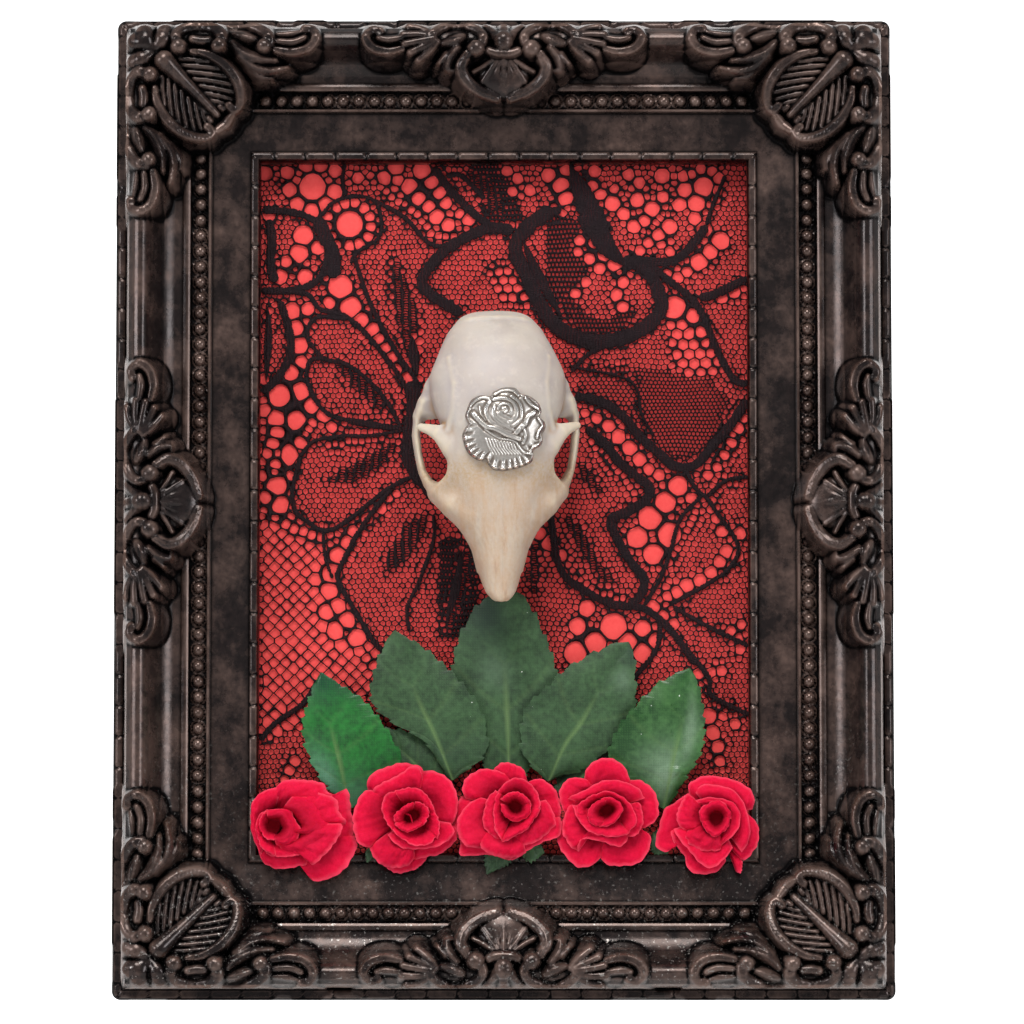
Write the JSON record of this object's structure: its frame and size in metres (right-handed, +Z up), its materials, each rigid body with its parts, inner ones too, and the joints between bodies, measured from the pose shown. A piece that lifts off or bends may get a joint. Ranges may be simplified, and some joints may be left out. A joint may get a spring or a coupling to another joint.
{
  "type": "framed squirrel skull",
  "caption": "Squirrel skull with a cast rose on its brow, mounted on lace over red card behind fabric leaves and paper roses, in an ornate dark wall frame.",
  "frame": {"origin": "middle of the top rail's back face, where the piece bears on its wall", "axes": "+Y into the wall, -Y out towards the viewer, +Z up, +X to the viewer's right"},
  "size_m": [0.16, 0.0358, 0.202],
  "materials": {
    "frame_resin": "dark bronze paint on cast resin, rubbed highlights",
    "hardboard": "brown board, red card face",
    "lace_black": "floral lace",
    "bone": "satin cleaned bone",
    "tooth": "glossy orange enamel",
    "pewter": "cast, dark in its hollows",
    "leaf_fabric": "stiff woven cloth, printed",
    "rose_paper": "matte crimson",
    "hanger_steel": "zinc plated"
  },
  "bodies": {
    "root": {"backing_board": "hardboard", "beads_bottom_left": "frame_resin", "beads_bottom_right": "frame_resin", "beads_left_lower": "frame_resin", "beads_left_upper": "frame_resin", "beads_right_lower": "frame_resin", "beads_right_upper": "frame_resin", "beads_top_left": "frame_resin", "beads_top_right": "frame_resin", "corner_bottom_left": "frame_resin", "corner_bottom_right": "frame_resin", "corner_top_left": "frame_resin", "corner_top_right": "frame_resin", "cranium": "bone", "crest_bottom": "frame_resin", "crest_left": "frame_resin", "crest_right": "frame_resin", "crest_top": "frame_resin", "frame_moulding": "frame_resin", "hanger": "hanger_steel", "incisor_left": "tooth", "incisor_right": "tooth", "lace_panel": "lace_black", "leaf_far_left": "leaf_fabric", "leaf_far_right": "leaf_fabric", "leaf_left": "leaf_fabric", "leaf_middle": "leaf_fabric", "leaf_right": "leaf_fabric", "leaf_under_left": "leaf_fabric", "leaf_under_right": "leaf_fabric", "point_bottom_left": "hanger_steel", "point_bottom_right": "hanger_steel", "point_left_lower": "hanger_steel", "point_left_upper": "hanger_steel", "point_right_lower": "hanger_steel", "point_right_upper": "hanger_steel", "rose_charm": "pewter", "rose_far_left": "rose_paper", "rose_far_right": "rose_paper", "rose_left": "rose_paper", "rose_middle": "rose_paper", "rose_right": "rose_paper"}
  },
  "joints": []
}
